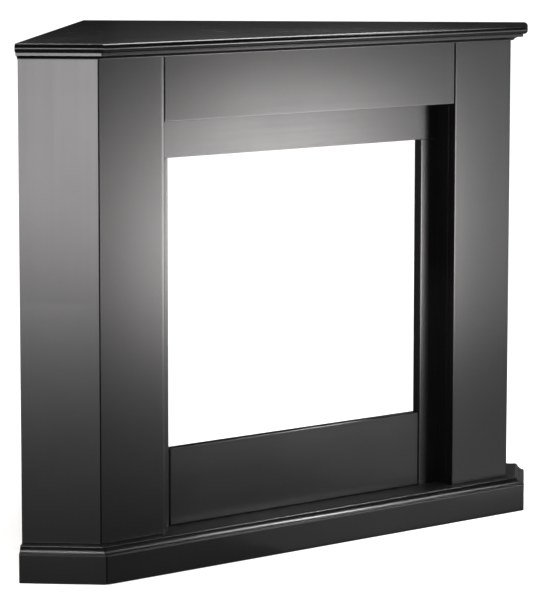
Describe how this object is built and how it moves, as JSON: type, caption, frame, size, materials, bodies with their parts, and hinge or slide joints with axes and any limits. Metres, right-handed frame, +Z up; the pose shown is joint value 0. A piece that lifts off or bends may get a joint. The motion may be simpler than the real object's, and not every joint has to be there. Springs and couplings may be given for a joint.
{
  "type": "corner fireplace",
  "caption": "Black painted corner mantel surround with flat pilasters, a recessed inner frame and an open bay for a fire insert.",
  "frame": {"origin": "middle of the footprint's bounding box, on the floor", "axes": "+Z up, -Y out of the front into the room, +Y towards the room's corner, +X to the right of someone who faces the front"},
  "size_m": [1.2672, 0.7452, 0.96],
  "materials": {
    "black_lacquer": "satin black lacquer on fibreboard",
    "softwood": "planed bare pine",
    "zinc_steel": "bright zinc plate"
  },
  "bodies": {
    "root": {"mantel_shelf": "black_lacquer", "crown_front": "black_lacquer", "crown_left": "black_lacquer", "crown_right": "black_lacquer", "frieze_board": "black_lacquer", "frieze_soffit": "black_lacquer", "left_pilaster_face": "black_lacquer", "right_pilaster_face": "black_lacquer", "left_pilaster_cheek": "black_lacquer", "right_pilaster_cheek": "black_lacquer", "left_return_panel": "black_lacquer", "right_return_panel": "black_lacquer", "lintel_panel": "black_lacquer", "left_stile": "black_lacquer", "right_stile": "black_lacquer", "lower_panel": "black_lacquer", "base_deck": "black_lacquer", "plinth_front": "black_lacquer", "plinth_left": "black_lacquer", "plinth_right": "black_lacquer", "front_deck_cleat": "softwood", "left_deck_cleat": "softwood", "right_deck_cleat": "softwood", "left_base_rail": "softwood", "right_base_rail": "softwood", "rear_post": "softwood", "front_top_rail": "softwood", "left_top_rail": "softwood", "right_top_rail": "softwood", "left_wall_batten": "softwood", "right_wall_batten": "softwood", "left_glue_blocks": "softwood", "right_glue_blocks": "softwood", "pilaster_blocks": "softwood", "wood_dowels": "softwood", "angle_brackets": "zinc_steel", "bracket_screws": "zinc_steel", "wood_screws": "zinc_steel"}
  },
  "joints": []
}
